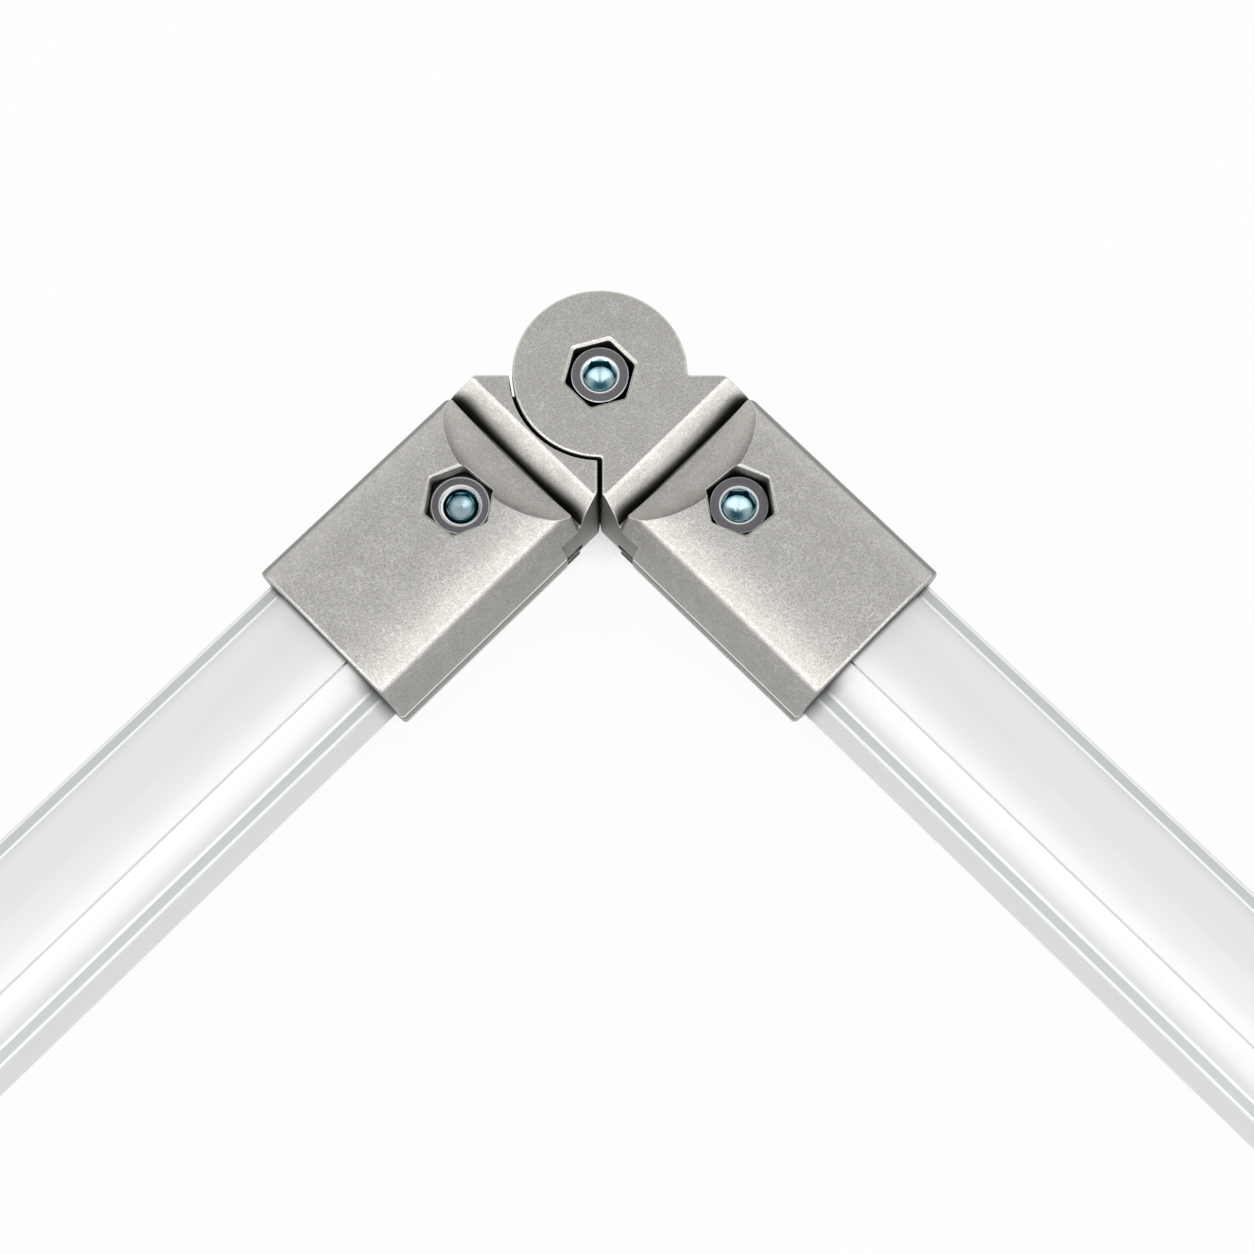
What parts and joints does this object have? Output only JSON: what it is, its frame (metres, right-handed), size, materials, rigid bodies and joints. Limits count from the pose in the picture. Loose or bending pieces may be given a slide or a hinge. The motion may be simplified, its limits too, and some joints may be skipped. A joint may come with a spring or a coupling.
{
  "type": "profile pivot joint",
  "caption": "Die-cast pivot joint whose two arms clamp round aluminium profiles and turn about a socket head screw between end stops.",
  "frame": {"origin": "under the middle of the joint's box, on the surface that its back shells lie on", "axes": "+Z along the pivot axis towards the front face, +Y from the open side of the V to the pivot, +X to the right arm"},
  "size_m": [0.275, 0.1522, 0.032],
  "materials": {
    "die_casting": "blasted die casting, fine matt grain",
    "anodised_profile": "clear anodised extrusion, satin",
    "zinc_plated_steel": "bright zinc plating with darkened faces"
  },
  "bodies": {
    "right_arm": {"right_back_shell": "die_casting", "right_clamp_nut": "zinc_plated_steel", "right_clamp_screw": "zinc_plated_steel", "right_front_shell": "die_casting", "right_knuckle": "die_casting", "right_profile": "anodised_profile"},
    "left_arm": {"left_back_shell": "die_casting", "left_clamp_nut": "zinc_plated_steel", "left_clamp_screw": "zinc_plated_steel", "left_front_shell": "die_casting", "left_knuckle": "die_casting", "left_profile": "anodised_profile", "pivot_nut": "zinc_plated_steel", "pivot_screw": "zinc_plated_steel"}
  },
  "joints": [
    {"name": "pivot", "type": "hinge", "parent": "right_arm", "child": "left_arm", "pos_m": [0, 0.06142, 0.016], "axis": [0, 0, -1], "range_deg": [0, 180]}
  ]
}
